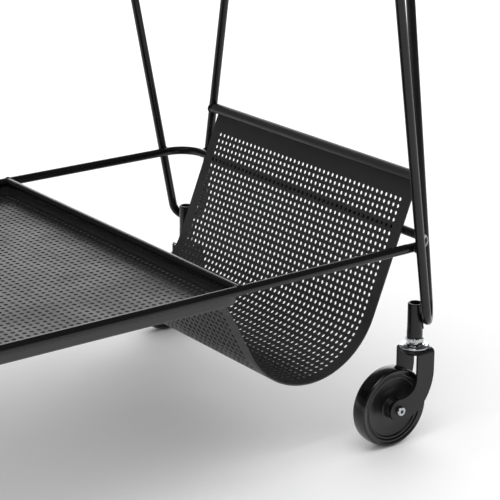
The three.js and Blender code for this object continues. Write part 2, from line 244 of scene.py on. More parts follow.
def end_loops(rows, columns, closed):
    """The first and last row of a grid as the faces that close it."""
    if closed:
        return []
    first = list(range(columns))
    return [first[::-1], [(rows - 1) * columns + i for i in first]]


def tube(path, across, closed=False):
    """A round tube along a path, its open ends eased over the last half millimetre."""
    path = np.asarray(path, float)
    if closed:
        return sweep(path, across, circle(TUBE_RADIUS, TUBE_SIDES), closed=True)
    ease = 0.5
    start, end = unit(path[1] - path[0]), unit(path[-2] - path[-1])
    path = np.vstack([path[:1], path[:1] + ease * start, path[1:-1], path[-1:] + ease * end, path[-1:]])
    scale = np.ones(len(path))
    scale[[0, -1]] = 1 - ease / TUBE_RADIUS
    return sweep(path, across, circle(TUBE_RADIUS, TUBE_SIDES), scale=scale)


def turned(profile, sides, axis="z", hexagonal=None, closed=True):
    """A turned piece: profile pairs of radius and height go round an axis.

    Where hexagonal is w, the radius is r (1 - w + w h), with h = cos 30 / cos(t mod 60 - 30), so a
    round shoulder runs into the flats of a nut.
    """
    profile = np.asarray(profile, float)
    t = np.linspace(0, 2 * np.pi, sides, endpoint=False)
    sixth = math.pi / 3
    flats = math.cos(sixth / 2) / np.cos(t % sixth - sixth / 2)
    w = np.zeros(len(profile)) if hexagonal is None else np.asarray(hexagonal, float)
    radius = profile[:, :1] * (1 - w[:, None] + w[:, None] * flats[None])
    height = np.broadcast_to(profile[:, 1:], radius.shape)
    p, q = radius * np.cos(t), radius * np.sin(t)
    points = np.stack([p, q, height] if axis == "z" else [p, height, q], -1)
    rows, columns = radius.shape
    quads = grid_quads(rows, columns, wrap_rows=closed)
    return points.reshape(-1, 3), quads, end_loops(rows, columns, closed)


def pierced_lattice(u, v, hole_u, hole_v, radius_u, radius_v):
    """Quads on the lines u and v, with an eight-sided hole at the crossings hole_u, hole_v.

    A hole takes the four quads round its crossing: its corner k lies at centre + (ru cos 45k,
    rv sin 45k), and is joined to the k-th of the eight lattice points round it.
    """
    ring_u = np.array([1, 1, 0, -1, -1, -1, 0, 1])
    ring_v = np.array([0, 1, 1, 1, 0, -1, -1, -1])
    whole = np.ones((len(u) - 1, len(v) - 1), bool)
    for du in (-1, 0):
        for dv in (-1, 0):
            whole[hole_u + du, hole_v + dv] = False
    quads = grid_quads(len(u), len(v), wrap_columns=False)[whole.ravel()]
    outer = (hole_u[:, None] + ring_u) * len(v) + hole_v[:, None] + ring_v
    inner = len(u) * len(v) + np.arange(outer.size).reshape(outer.shape)
    collar = np.stack([np.roll(outer, -1, 1), outer, inner, np.roll(inner, -1, 1)], -1).reshape(-1, 4)
    angle = np.arange(8) * np.pi / 4
    lattice = np.stack(np.meshgrid(u, v, indexing="ij"), -1).reshape(-1, 2)
    rims = np.stack([
        u[hole_u][:, None] + radius_u * np.cos(angle),
        v[hole_v][:, None] + radius_v * np.sin(angle),
    ], -1).reshape(-1, 2)
    return only_used(np.vstack([lattice, rims]), np.vstack([quads, collar]))


def only_used(points, quads):
    """The same quads without the points that none of them uses."""
    used, numbers = np.unique(quads, return_inverse=True)
    return points[used], numbers.reshape(quads.shape)


def open_edges(quads, count):
    """The edges, as pairs in their face's own order, that only one face has."""
    edges = np.stack([quads, np.roll(quads, -1, 1)], -1).reshape(-1, 2)
    forward = edges[:, 0] * count + edges[:, 1]
    backward = edges[:, 1] * count + edges[:, 0]
    return edges[~np.isin(forward, backward)]


def shell(points, quads, thickness):
    """A sheet given its thickness: each point moves half of it both ways along its normal.

    The normal is the sum of the cross products of the diagonals of the faces round the point.
    """
    corner = points[quads]
    face = np.cross(corner[:, 2] - corner[:, 0], corner[:, 3] - corner[:, 1])
    normal = np.zeros_like(points)
    for k in range(4):
        np.add.at(normal, quads[:, k], face)
    half = unit(normal) * thickness / 2
    return two_faces(points + half, points - half, quads)


def two_faces(upper, lower, quads):
    """A sheet from the points of its two faces, with quads that close every open edge."""
    count = len(upper)
    a, b = open_edges(quads, count).T
    rim = np.column_stack([b, a, a + count, b + count])
    return np.vstack([upper, lower]), np.vstack([quads, quads[:, ::-1] + count, rim])


# ---- from arrays to pieces of the cart ----------------------------------------------------------
def make_piece(name, shapes, material, body, nodes=(), place=(0, 0, 0)):
    """One mesh object from shapes of points, quads and end loops, riding on a body of the cart."""
    points, faces, count = [], [], 0
    for shape in shapes:
        points.append(np.asarray(shape[0], float))
        loops = shape[2] if len(shape) > 2 else []
        faces += (shape[1] + count).tolist() + [[i + count for i in loop] for loop in loops]
        count += len(shape[0])
    mesh = bpy.data.meshes.new(name)
    mesh.from_pydata((np.vstack(points) + place) * MM, [], faces)
    face_outwards(mesh)
    mesh.shade_smooth()
    mesh.set_sharp_from_angle(angle=math.radians(38))
    mesh.materials.append(material)
    piece = bpy.data.objects.new(name, mesh)
    bpy.context.scene.collection.objects.link(piece)
    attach(piece, body)
    if nodes:
        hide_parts(*nodes)
    return piece


def face_outwards(mesh):
    """Turns every closed shell of a mesh to face outwards."""
    work = bmesh.new()
    work.from_mesh(mesh)
    bmesh.ops.recalc_face_normals(work, faces=work.faces)
    work.to_mesh(mesh)
    work.free()


def dress(node, material):
    """Gives a CAD node its finish."""
    mesh = frame["nodes"][node].data
    mesh.materials.clear()
    mesh.materials.append(material)


def swivel_place(corner):
    """The point on the floor under a castor's swivel axis."""
    x, y, _ = JOINTS[f"swivel_{corner}"]["pos_m"]
    return np.array([x, y, 0]) / MM


def axle_place(corner):
    """The middle of a castor's axle."""
    return np.array(JOINTS[f"roll_{corner}"]["pos_m"]) / MM


# ---- finishes -----------------------------------------------------------------------------------
def add_node(tree, kind, settings=None, inputs=None):
    """Adds a node, sets it up, and gives each input its value or its link."""
    node = tree.nodes.new(kind)
    for key, value in (settings or {}).items():
        setattr(node, key, value)
    for key, value in (inputs or {}).items():
        if isinstance(value, bpy.types.NodeSocket):
            tree.links.new(value, node.inputs[key])
        else:
            node.inputs[key].default_value = value
    return node


def speckled(name, base, roughness, spread, grain, grain_height, metallic=0.0, drift=0.12, ior=1.5):
    """A finish with a fine grain in its surface and a slow drift in its colour and gloss.

    grain is the size of the grain in millimetres, grain_height its depth in millimetres, spread how
    far the roughness drifts either way, and drift the share by which the colour lightens.
    """
    found = bpy.data.materials.get(name)
    if found:
        return found
    material = bpy.data.materials.new(name)
    material.use_nodes = True
    tree = material.node_tree
    shader = tree.nodes["Principled BSDF"]
    place = add_node(tree, "ShaderNodeTexCoord").outputs["Object"]
    drift_size = 45.0
    slow = add_node(tree, "ShaderNodeTexNoise", inputs={
        "Vector": place, "Scale": 1 / (drift_size * MM), "Detail": 3.0, "Roughness": 0.5,
    }).outputs["Fac"]
    fine = add_node(tree, "ShaderNodeTexNoise", inputs={
        "Vector": place, "Scale": 1 / (grain * MM), "Detail": 2.0, "Roughness": 0.6,
    }).outputs["Fac"]
    light = [min(1.0, c * (1 + drift) + 0.002 * drift) for c in base[:3]] + [1.0]
    dark = [c * (1 - drift) for c in base[:3]] + [1.0]
    mixed = add_node(tree, "ShaderNodeMix", {"data_type": "RGBA"}, {0: slow, 6: dark, 7: light}).outputs[2]
    gloss = add_node(tree, "ShaderNodeMapRange", inputs={
        "Value": slow, "From Min": 0.3, "From Max": 0.7,
        "To Min": roughness - spread, "To Max": roughness + spread,
    }).outputs["Result"]
    bump = add_node(tree, "ShaderNodeBump", inputs={
        "Height": fine, "Strength": 0.6, "Distance": grain_height * MM,
    }).outputs["Normal"]
    tree.links.new(mixed, shader.inputs["Base Color"])
    tree.links.new(gloss, shader.inputs["Roughness"])
    tree.links.new(bump, shader.inputs["Normal"])
    shader.inputs["Metallic"].default_value = metallic
    if not metallic:
        shader.inputs["IOR"].default_value = ior
    return material


def powder_coated_tube(finish):
    """Polyester powder coat baked on steel tube: a satin film that flows into a slight orange peel
    about 2 mm from crest to crest, so highlights run as one soft line that is never quite straight."""
    return speckled("powder_coated_steel_tube", finish.tube, 0.25, 0.05, 2.0, 0.012, ior=1.42)


def powder_coated_sheet(finish):
    """The same powder on punched sheet steel, sprayed thinner: drier and finer, with a peel of about
    1.2 mm, so the flat faces read as an even dark grey."""
    return speckled("powder_coated_punched_sheet", finish.sheet, 0.4, 0.05, 1.2, 0.01)


def stove_enamelled_steel(finish):
    """Black stoving paint on pressed steel: satin, with a tight grain of about 0.8 mm."""
    return speckled("stove_enamelled_pressed_steel", finish.fork, 0.4, 0.05, 0.8, 0.008, ior=1.42)


def chrome_plate(finish):
    """Bright nickel and chrome plate: a mirror with a very slight haze that varies with polishing."""
    return speckled("bright_chrome_plate", finish.chrome, 0.1, 0.04, 3.0, 0.01, metallic=1.0, drift=0.04)


def zinc_plate(finish):
    """Barrel-zinc plate on turned steel: a soft grey metal with cloudy patches and tumbling marks."""
    return speckled("barrel_zinc_plate", finish.zinc, 0.32, 0.07, 0.7, 0.01, metallic=1.0, drift=0.08)


def moulded_polypropylene(finish):
    """Polypropylene moulded in a polished tool: half gloss, with faint flow marks."""
    return speckled("moulded_polypropylene", finish.plastic, 0.34, 0.05, 1.6, 0.008, ior=1.49)


def moulded_rubber(finish):
    """Thermoplastic rubber moulded smooth: a deep black with a wet gloss."""
    return speckled("moulded_thermoplastic_rubber", finish.rubber, 0.2, 0.05, 2.5, 0.012, ior=1.52)


def matt_painted_floor(stage):
    """Matt white paint on a smooth floor, with the faint grain that a roller leaves, 3 mm across."""
    return speckled("matt_painted_floor", stage.floor, 0.75, 0.04, 3.0, 0.005, drift=0.01)


# ---- frame tubes --------------------------------------------------------------------------------
UP = np.array([0.0, 0.0, 1.0])


def ring_shape(half_length, half_depth, corner, height):
    """A closed tube along a level rectangle with rounded corners."""
    ends = [(1, -1), (1, 1), (-1, 1), (-1, -1)]
    corners = [(MIDDLE_X + sx * half_length, sy * half_depth, height) for sx, sy in ends]
    return tube(rounded_path(corners, corner, 24), UP, closed=True)


def coped_tube(x, z, meet):
    """A straight tube along Y whose two ends are cut to fit the tubes they meet.

    Round the tube a point lies at (x + r cos t, z + r sin t), and meet gives its reach in Y there.
    """
    t = np.linspace(0, 2 * np.pi, TUBE_SIDES, endpoint=False)
    px, pz = x + TUBE_RADIUS * np.cos(t), z + TUBE_RADIUS * np.sin(t)
    reach = meet(px, pz)
    points = np.stack([np.stack([px, side * reach, pz], -1) for side in (-1, 1)])
    return points.reshape(-1, 3), grid_quads(2, TUBE_SIDES), end_loops(2, TUBE_SIDES, False)


def meets_ring(x, z):
    """How far in Y a point reaches before it touches the long side of the lower ring."""
    rise = np.clip(z - LOWER_AXIS[2], -TUBE_RADIUS, TUBE_RADIUS)
    return HALF_DEPTH - np.sqrt(TUBE_RADIUS ** 2 - rise ** 2)


def meets_leg(x, z):
    """How far in Y a point reaches before it touches the short-side tube of a leg."""
    leg_x, leg_y, _ = short_side(z - LOWER_AXIS[2])
    across = np.clip(x - leg_x, -TUBE_RADIUS, TUBE_RADIUS)
    return leg_y - np.sqrt(TUBE_RADIUS ** 2 - across ** 2)


# ---- legs ---------------------------------------------------------------------------------------
BESIDE = 2 * TUBE_RADIUS + WELD_GAP          # axis to axis of a leg tube and the ring it touches


def long_side(up):
    """Axis of a leg's tube on the long side, a height above the lower ring: x, y and z."""
    x = LOWER_AXIS[0] - LEG_INSET - (LEG_CLOSING - LEG_LEAN_SHORT) * up
    return x, HALF_DEPTH + BESIDE + LEG_LEAN_LONG * up, LOWER_AXIS[2] + up


def short_side(up):
    """The same for its tube on the short side."""
    y = HALF_DEPTH - LEG_INSET - (LEG_CLOSING - LEG_LEAN_LONG) * up
    return LOWER_AXIS[0] + BESIDE + LEG_LEAN_SHORT * up, y, LOWER_AXIS[2] + up


def corner_signs(corner):
    """Which way a corner lies from the middle, in X and in Y."""
    return (1 if "right" in corner else -1), (1 if "back" in corner else -1)


def mirrored(points, corner):
    """Points of the back right corner carried to another corner."""
    sx, sy = corner_signs(corner)
    return (np.asarray(points, float) - (MIDDLE_X, 0, 0)) * (sx, sy, 1) + (MIDDLE_X, 0, 0)


def leg_shape(corner):
    """A hairpin: two straights that would meet in a point, joined there by one round bend."""
    meeting = -(LEG_INSET + BESIDE) / LEG_CLOSING
    top = UPPER_AXIS[2] - LOWER_AXIS[2] + TUBE_RADIUS
    knots = mirrored([long_side(top), long_side(meeting), short_side(top)], corner)
    path = rounded_path(knots, LEG_BEND, 32, closed=False)
    plane = np.cross(knots[1] - knots[0], knots[2] - knots[1])
    return tube(path, unit(plane))


# ---- weld beads ---------------------------------------------------------------------------------
def bead(path, centre, radius):
    """A weld bead along a closed path round a centre: a round section whose radius ripples.

    The section at each point is centre line + r (cos t out + sin t over), where out points away from
    the centre and over is square to it and to the path, and r = radius (1 + depth cos(ripples s)).
    """
    depth, ripples, sides = 0.16, 14, 12
    path = np.asarray(path, float)
    along = directions(path, closed=True)
    out = unit(path - centre)
    over = np.cross(along, out)
    turn = np.linspace(0, 2 * np.pi, len(path), endpoint=False)
    ripple = radius * (1 + depth * np.cos(ripples * turn))
    t = np.linspace(0, 2 * np.pi, sides, endpoint=False)
    section = np.cos(t)[None, :, None] * out[:, None] + np.sin(t)[None, :, None] * over[:, None]
    points = path[:, None] + ripple[:, None, None] * section
    return points.reshape(-1, 3), grid_quads(len(path), sides, wrap_rows=True)


def coped_bead(x, z, meet, side, radius=0.75):
    """The bead that closes the end of a coped tube, just outside its own surface."""
    t = np.linspace(0, 2 * np.pi, 84, endpoint=False)
    out = TUBE_RADIUS + 0.2
    px, pz = x + out * np.cos(t), z + out * np.sin(t)
    reach = meet(px, pz)
    path = np.column_stack([px, side * reach, pz])
    return bead(path, path.mean(0), radius)


def contact_bead(point, normal, half_a, half_b, direction, radius=0.7):
    """The bead round the spot where two tubes touch: point + a cos t direction + b sin t other."""
    normal, direction = unit(np.asarray(normal, float)), np.asarray(direction, float)
    direction = unit(direction - (direction @ normal) * normal)
    other = np.cross(normal, direction)
    t = np.linspace(0, 2 * np.pi, 64, endpoint=False)[:, None]
    path = point + half_a * np.cos(t) * direction + half_b * np.sin(t) * other
    return bead(path, np.asarray(point, float), radius)


# ---- perforated sheet ---------------------------------------------------------------------------
def hole_lines(first, count, pitch):
    """Lines half a pitch apart through a row of holes, and the index in them of each hole."""
    lines = first + (np.arange(2 * count + 1) - 1) * pitch / 2
    return lines, 2 * np.arange(count) + 1


def framed(lines, low, high):
    """The lines with the sheet's own edges added, and how many were added before them."""
    least = 0.01
    before = [low] if low < lines[0] - least else []
    after = [high] if high > lines[-1] + least else []
    return np.concatenate([before, lines, after]), len(before)


NIL = 1e-6
TOUCHING = 1e-4


def towards_corner(points, box, corners):
    """The nearest point of the tray's middle to each point, kept a corner radius from its edges.

    Also gives the distance to it and the radius of the corner.
    """
    (x0, y0), (x1, y1) = box
    radius = np.where(points[:, 0] < (x0 + x1) / 2, corners[0], corners[1])
    x = np.clip(points[:, 0], x0 + corners[0], x1 - corners[1])
    nearest = np.column_stack([x, np.clip(points[:, 1], y0 + radius, y1 - radius)])
    return nearest, np.linalg.norm(points - nearest, axis=1), radius


def tray_shape(box, corners, floor, wall_top, first_x, columns, rows, settings, walls=(True, True)):
    """A shallow pan: a pierced floor inside a rounded rectangle, with a wall bent up round it.

    The floor stands proud by crown (1 - (y / half depth)^2).  Lattice points outside the outline
    are drawn in to it along the line to the corner's centre.  The wall is the outline moved out by
    b sin t and up by b (1 - cos t), and then straight up.
    """
    pitch, radius, thickness = settings.pitch / MM, settings.hole / MM / 2, settings.thickness / MM
    crown = settings.crown / MM
    land = 0.8                                   # least steel between a hole and a round corner
    inset = np.array([[TRAY_BEND, TRAY_BEND], [-TRAY_BEND, -TRAY_BEND]])
    edge = np.asarray(box, float) + inset * [[walls[0], 1], [walls[1], 1]]
    bends = [max(r - TRAY_BEND, 0.5) if r else 0.0 for r in corners]
    xs, hole_x = hole_lines(first_x, columns, pitch)
    ys, hole_y = hole_lines(-(rows - 1) / 2 * pitch, rows, pitch)
    u, shift_u = framed(xs, edge[0, 0], edge[1, 0])
    v, shift_v = framed(ys, edge[0, 1], edge[1, 1])
    at_u, at_v = [a.ravel() for a in np.meshgrid(hole_x + shift_u, hole_y + shift_v, indexing="ij")]
    centres = np.column_stack([u[at_u], v[at_v]])
    _, distance, corner = towards_corner(centres, edge, bends)
    clear = (distance < NIL) | (distance + radius + land < corner)
    points, quads = pierced_lattice(u, v, at_u[clear], at_v[clear], radius, radius)

    nearest, distance, corner = towards_corner(points, edge, bends)
    outside = distance > corner + NIL
    inward = (corner[outside] / distance[outside])[:, None]
    points[outside] = nearest[outside] + (points - nearest)[outside] * inward
    points, quads = only_used(points, quads[~outside[quads].all(1)])

    nearest, distance, corner = towards_corner(points, edge, bends)
    on_side = (np.abs(points[:, 1]) > edge[1, 1] - TOUCHING) | (np.abs(distance - corner) < TOUCHING)
    on_end = np.zeros(len(points), bool)
    for k, wall in enumerate(walls):
        at_end = np.abs(points[:, 0] - edge[k, 0]) < TOUCHING
        on_end |= at_end & wall
    outline = (on_side & (distance > 0)) | on_end
    lift = crown * (1 - (points[:, 1] / edge[1, 1]) ** 2)
    solid = np.column_stack([points, floor + lift])
    return with_wall(solid, quads, outline, nearest, wall_top, thickness)


def with_wall(floor, quads, outline, nearest, wall_top, thickness):
    """Adds the bent-up wall to every open floor edge that lies on the outline."""
    edges = open_edges(quads, len(floor))
    edges = edges[outline[edges].all(1)]
    rim, numbers = np.unique(edges, return_inverse=True)
    numbers = numbers.reshape(edges.shape)
    start = floor[rim]
    out = unit(start[:, :2] - nearest[rim])
    t = np.linspace(0, np.pi / 2, 6)[1:]
    moved = np.append(TRAY_BEND * np.sin(t), TRAY_BEND)
    raised = np.append(TRAY_BEND * (1 - np.cos(t)), wall_top - start[:, 2].min())
    levels = np.concatenate([
        start[None, :, :2] + moved[:, None, None] * out[None],
        (start[None, :, 2] + raised[:, None])[..., None],
    ], -1)
    ids = np.vstack([rim, len(floor) + np.arange(len(moved) * len(rim)).reshape(len(moved), -1)])
    low, high = ids[:-1], ids[1:]
    a, b = numbers.T
    wall = np.stack([low[:, b], low[:, a], high[:, a], high[:, b]], -1).reshape(-1, 4)
    return shell(np.vstack([floor, levels.reshape(-1, 3)]), np.vstack([quads, wall]), thickness)


# ---- rack ---------------------------------------------------------------------------------------
def rack_line(thickness):
    """The rack sheet's section: the length of each part, and a function from length to point.

    Length runs from the rail down the right limb, round the bottom and up the left limb, and is
    negative on the part rolled round the rail.  The function gives x, z and the outward normal.
    """
    reach = TUBE_RADIUS + WELD_GAP + thickness / 2
    rail = np.array([RAIL_X, RAIL_HEIGHT])
    between = rail - [LOWER_AXIS[0], LOWER_AXIS[2]]
    lean = math.atan2(between[0], between[1]) + math.asin(2 * reach / np.linalg.norm(between))
    right_out = np.array([math.cos(lean), -math.sin(lean)])
    left_out = np.array([-math.cos(RACK_LEFT_LEAN), -math.sin(RACK_LEFT_LEAN)])
    start = rail + reach * right_out
    cross = np.array([CROSS_X, LOWER_AXIS[2]])
    lines = np.array([right_out, left_out])
    centre = np.linalg.solve(lines, [right_out @ start - RACK_BEND, left_out @ cross - RACK_BEND])
    left_up = np.array([-math.sin(RACK_LEFT_LEAN), math.cos(RACK_LEFT_LEAN)])
    left_top = cross - (TUBE_RADIUS + WELD_GAP) * left_up
    right_down = np.array([-math.sin(lean), -math.cos(lean)])
    right_angle = math.atan2(right_out[1], right_out[0])
    left_angle = math.atan2(left_out[1], left_out[0])
    right_limb = (centre + RACK_BEND * right_out - start) @ right_down
    bottom = RACK_BEND * (right_angle - left_angle)
    left_limb = (left_top - centre - RACK_BEND * left_out) @ left_up

    def place(s):
        curl = right_angle - s / reach
        round_bottom = right_angle - (s - right_limb) / RACK_BEND
        angle = np.where(s < 0, curl, np.clip(round_bottom, left_angle, right_angle))
        normal = np.column_stack([np.cos(angle), np.sin(angle)])
        on_curl = rail + reach * normal
        on_right = start + s[:, None] * right_down
        on_bottom = centre + RACK_BEND * normal
        on_left = centre + RACK_BEND * left_out + (s - right_limb - bottom)[:, None] * left_up
        part = np.searchsorted([0, right_limb, right_limb + bottom], s, side="right")[:, None]
        return np.choose(part, [on_curl, on_right, on_bottom, on_left]), normal

    return reach * CURL, right_limb + bottom + left_limb, place


def rack_shape(settings):
    """The rack sheet: every point of a pierced lattice of length and width, laid on the section."""
    pitch, radius, thickness = settings.pitch / MM, settings.hole / MM / 2, settings.thickness / MM
    curled, length, place = rack_line(thickness)
    side_margin = 8.0
    end_margin = 6.0
    columns = 2 * int((RACK_HALF_WIDTH - side_margin) // pitch)
    rows = int((length - end_margin - FIRST_ROW) // pitch) + 1
    across, hole_v = hole_lines(-(columns - 1) / 2 * pitch, columns, pitch)
    v, shift_v = framed(across, -RACK_HALF_WIDTH, RACK_HALF_WIDTH)
    down, hole_u = hole_lines(FIRST_ROW, rows, pitch)
    plain = np.concatenate([np.linspace(-curled, 0, 19), np.linspace(0, down[0], 5)[1:-1]])
    u = np.concatenate([plain, down, [length]])
    at_u, at_v = [a.ravel() for a in np.meshgrid(hole_u + len(plain), hole_v + shift_v, indexing="ij")]
    flat, quads = pierced_lattice(u, v, at_u, at_v, radius, radius)
    section, normal = place(flat[:, 0])
    half = thickness / 2
    outer, inner = section + half * normal, section - half * normal
    outer, inner = (np.column_stack([side[:, 0], flat[:, 1], side[:, 1]]) for side in (outer, inner))
    return two_faces(outer, inner, quads)


# ---- castors: the sizes are heights above the floor and radii from the swivel axis ---------------
def socket_shape():
    """The welded socket: a short thick tube with eased rims, a touch wider at its foot."""
    low, high = cad_box("socket_front_right")[:, 2]
    radius, bore = SOCKET_RADIUS, SOCKET_BORE
    outline = [(bore, low), (radius + 0.25, low), (radius + 0.2, low + 5), (radius, low + 9), (radius, high),
               (bore, high)]
    return turned(rounded_path(outline, [0.4, 0.6, 3.0, 3.0, 0.9, 0.6], 4), 48)


def lock_nut_shape():
    """A hexagon nut: round chamfers at top and bottom run into its six flats."""
    low, high = cad_box("lock_nut_front_right")[:, 2]
    corner, bore = 8.6, SOCKET_BORE
    flat = corner * math.cos(math.pi / 6)
    chamfer = 0.8
    outline = [(bore, low), (flat - 0.3, low), (corner, low + chamfer), (corner, high - chamfer),
               (flat - 0.3, high), (bore + 0.6, high), (bore, high - 0.6)]
    return turned(outline, 72, hexagonal=[0, 0, 1, 1, 0, 0, 0])


def cup_shape():
    """The swivel cup: a rolled lower rim with a domed top, pressed from one disc."""
    low, high = cad_box("bearing_cup_front_right")[:, 2]
    rim, neck, bore = 13.4, 9.4, SOCKET_BORE
    outline = [(bore, low), (rim - 0.5, low), (rim, low + 0.7), (rim, low + 1.7), (rim - 0.9, high - 0.8),
               (neck + 0.5, high - 0.4), (neck, high), (bore, high)]
    return turned(rounded_path(outline, [0.2, 0.4, 0.5, 0.5, 0.8, 0.6, 0.2, 0.2], 5), 72)


FORK_STEEL = 2.0
FORK_HALF_WIDTH = 14.6
FORK_BACK, FORK_FRONT = -8.2, 11.6
BOSS_RADIUS = 10.5


def bezier(a, b, c, d, steps):
    """A cubic curve: (1-t)^3 a + 3 t (1-t)^2 b + 3 t^2 (1-t) c + t^3 d."""
    t = np.linspace(0, 1, steps)[:, None]
    a, b, c, d = (np.asarray(p, float) for p in (a, b, c, d))
    return (1 - t) ** 3 * a + 3 * t * (1 - t) ** 2 * b + 3 * t ** 2 * (1 - t) * c + t ** 3 * d


def fork_edges(trail, axle_height, arm_top):
    """The back and front edge of one arm as x and z, from the crown to the tip of the axle boss."""
    def on_boss(degrees):
        a = np.radians(degrees)
        return np.column_stack([BOSS_RADIUS * np.cos(a) - trail, BOSS_RADIUS * np.sin(a) + axle_height])

    straight, curve, arc = 7, 18, 18                    # points along each part
    neck_back, neck_front = 64.0, 66.0                  # heights where the straight edges end
    back_handles = (FORK_BACK, 52), (-17, 48.6)
    front_handles = (9.5, 40), (-10, 24.5)
    down_back = np.column_stack([np.full(straight, FORK_BACK), np.linspace(arm_top, neck_back, straight)])
    down_front = np.column_stack([np.full(straight, FORK_FRONT), np.linspace(arm_top, neck_front, straight)])
    upper, lower = on_boss([75])[0], on_boss([-75])[0]
    back = bezier((FORK_BACK, neck_back), *back_handles, upper, curve)
    front = bezier((FORK_FRONT, neck_front), *front_handles, lower, curve)
    tip_back, tip_front = on_boss(np.linspace(75, 193, arc)), on_boss(np.linspace(-75, -159, arc))
    return np.vstack([down_back, back[1:], tip_back[1:]]), np.vstack([down_front, front[1:], tip_front[1:]])


def fork_shape(corner):
    """The fork as one bent sheet: ruled lines from its back edge to its front edge.

    Both edges run up one arm, over the crown and down the other: point = back + v (front - back).
    The crown is pierced for the stem.
    """
    swivel, axle = swivel_place(corner), axle_place(corner)
    trail, axle_height = swivel[0] - axle[0], axle[2]
    top = cad_box(f"fork_{corner}")[1, 2] - FORK_STEEL / 2
    half = FORK_HALF_WIDTH - FORK_STEEL / 2
    bend = 2.6
    back, front = fork_edges(trail, axle_height, top - bend)
    turn = np.linspace(0, np.pi / 2, 7)
    corner_y, corner_z = half - bend + bend * np.cos(turn), top - bend + bend * np.sin(turn)
    hole = 5.5
    span = np.array([hole + 1.5, 0.0])

    def edge(arm, x):
        one_arm = np.column_stack([arm[::-1, 0], np.full(len(arm), half), arm[::-1, 1]])
        shoulder = np.column_stack([np.full(len(turn), x), corner_y, corner_z])[1:]
        crown = np.column_stack([np.full(2, x), span, np.full(2, top)])
        side = np.vstack([one_arm, shoulder, crown])
        return np.vstack([side, side[-2::-1] * (1, -1, 1)])

    back, front = edge(back, FORK_BACK), edge(front, FORK_FRONT)
    width = FORK_FRONT - FORK_BACK
    middle = -FORK_BACK / width
    v = np.array([0, 0.05, middle - span[0] / width, middle, middle + span[0] / width, 0.95, 1])
    lines = np.arange(len(back), dtype=float)
    at = len(back) // 2
    flat, quads = pierced_lattice(lines, v, np.array([at]), np.array([3]), hole / span[0], hole / width)
    a, b = (
        np.column_stack([np.interp(flat[:, 0], lines, side[:, k]) for k in range(3)])
        for side in (back, front)
    )
    points = a + flat[:, 1:] * (b - a)
    return shell(points, quads, FORK_STEEL)


def race_shape():
    """The lower race: a pressed black cup in the fork's crown, wider than the arms, open underneath
    for the head of the stem."""
    top = cad_box("fork_front_right")[1, 2]
    outline = [(8.4, top - 5.2), (10.2, top - 5.2), (12.2, top - 2.8), (12.5, top - 1.0), (12.3, top - 0.1),
               (9.5, top - 0.1), (9.5, top - 3.4), (8.4, top - 4.2)]
    return turned(rounded_path(outline, [0.3, 0.6, 0.9, 0.5, 0.2, 0.2, 0.5, 0.3], 5), 64)


def bolt_shape():
    """The axle bolt: a button head with a hexagon key, and a shank that shows past the nut."""
    face = FORK_HALF_WIDTH + WELD_GAP
    head, shank, key = 4.3, 3.0, 1.9
    head_face, tail = -face - 3, face + 4.4
    outline = [(0.2, head_face + 1.9), (key, head_face + 1.9), (key, head_face), (head - 1.1, head_face),
               (head - 0.4, head_face + 0.25), (head, head_face + 0.9), (head, -face), (shank, -face),
               (shank, tail - 0.5), (shank - 0.5, tail), (0.2, tail)]
    hexagonal = [1, 1, 1, 0, 0, 0, 0, 0, 0, 0, 0]
    return turned(outline, 48, axis="y", hexagonal=hexagonal, closed=False)


def axle_nut_shape():
    """The axle nut, chamfered on its outer side."""
    face = FORK_HALF_WIDTH + WELD_GAP
    corner, bore, height = 5.6, 3.1, 4.0
    flat = corner * math.cos(math.pi / 6)
    outline = [(bore, face), (corner, face), (corner, face + height - 0.7), (flat - 0.1, face + height),
               (bore, face + height)]
    return turned(outline, 72, axis="y", hexagonal=[0, 1, 1, 0, 0])


def hub_shape():
    """The wheel: a boss, a shallow dish that deepens towards it, and a raised ring at the tyre."""
    bore, boss, edge, half = 4.6, 8.5, 29.7, 9.0
    side = [(bore, half), (boss, half), (boss + 1.6, 3.3), (18, 3.4), (27.2, 4.9), (27.9, 6.4), (edge, 6.4)]
    radii = [0.3, 0.5, 1.5, 12.0, 0.5, 0.5, 0.3]
    outline = side + [(r, -y) for r, y in reversed(side)]
    return turned(rounded_path(outline, radii + radii[::-1], 5), 96, axis="y")


def tyre_shape():
    """The tyre: a narrow tread with round shoulders, a lip beside it and a bead at the wheel."""
    radius, seat, half = 37.5, 30.0, 8.0
    side = [(seat, half - 1.5), (seat + 1.1, half - 0.6), (seat + 2.2, half - 1.0),
            (radius - 3.2, half - 0.2), (radius - 1.9, half), (radius - 0.9, half - 1.5)]
    radii = [0.3, 0.6, 0.8, 0.9, 0.8, 1.5]
    tread = [(radius, 0)]
    outline = side + tread + [(r, -y) for r, y in reversed(side)]
    return turned(rounded_path(outline, radii + [30.0] + radii[::-1], 5), 120, axis="y")


# ---- operators ----------------------------------------------------------------------------------
class CartOperator(bpy.types.Operator):
    """Common ground of the cart's operators."""

    bl_options = {"REGISTER", "UNDO"}

    @classmethod
    def poll(cls, context):
        return context.scene is not None


class BARCART_OT_tubes(CartOperator):
    """Builds the two rings, the cross tube and the rack's rail"""

    bl_idname = "barcart.tubes"
    bl_label = "Frame Tubes"

    def execute(self, context):
        coat = powder_coated_tube(context.scene.cart_finish)
        shapes = {
            "lower_ring": ring_shape(HALF_LENGTH, HALF_DEPTH, LOWER_CORNER, LOWER_AXIS[2]),
            "upper_ring": ring_shape(UPPER_HALF_LENGTH, UPPER_HALF_DEPTH, UPPER_CORNER, UPPER_AXIS[2]),
            "cross_tube": coped_tube(CROSS_X, LOWER_AXIS[2], meets_ring),
            "rack_top_rail": coped_tube(RAIL_X, RAIL_HEIGHT, meets_leg),
        }
        for node, shape in shapes.items():
            make_piece(f"{node}_tube", [shape], coat, "frame", [node])
        return {"FINISHED"}


